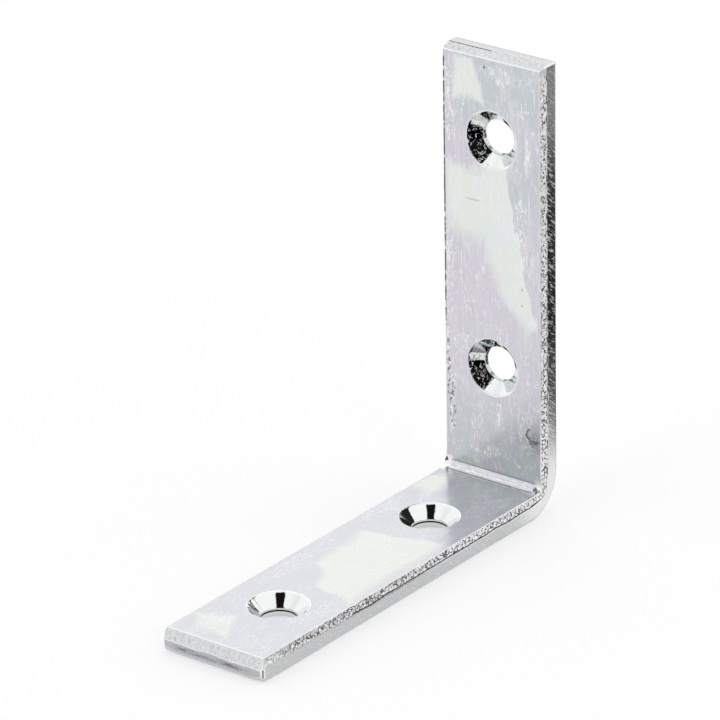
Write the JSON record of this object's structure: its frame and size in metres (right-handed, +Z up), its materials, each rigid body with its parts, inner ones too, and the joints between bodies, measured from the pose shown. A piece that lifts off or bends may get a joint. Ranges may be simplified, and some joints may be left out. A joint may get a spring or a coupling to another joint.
{
  "type": "angle bracket",
  "caption": "Right-angle bracket bent from flat steel strip, with equal legs and screw holes countersunk from both faces, for fixing two parts square to each other.",
  "frame": {"origin": "middle of the space the bracket takes up, at the height of the surface that its base leg stands on", "axes": "+Z up along the upright leg, +Y out of the upright leg's outer face and away from the base leg's free end, X across the strip"},
  "size_m": [0.0194, 0.075, 0.075],
  "materials": {
    "zinc_plated_steel": "bright zinc plated, semi-gloss"
  },
  "bodies": {
    "root": {"angle_bracket": "zinc_plated_steel"}
  },
  "joints": []
}
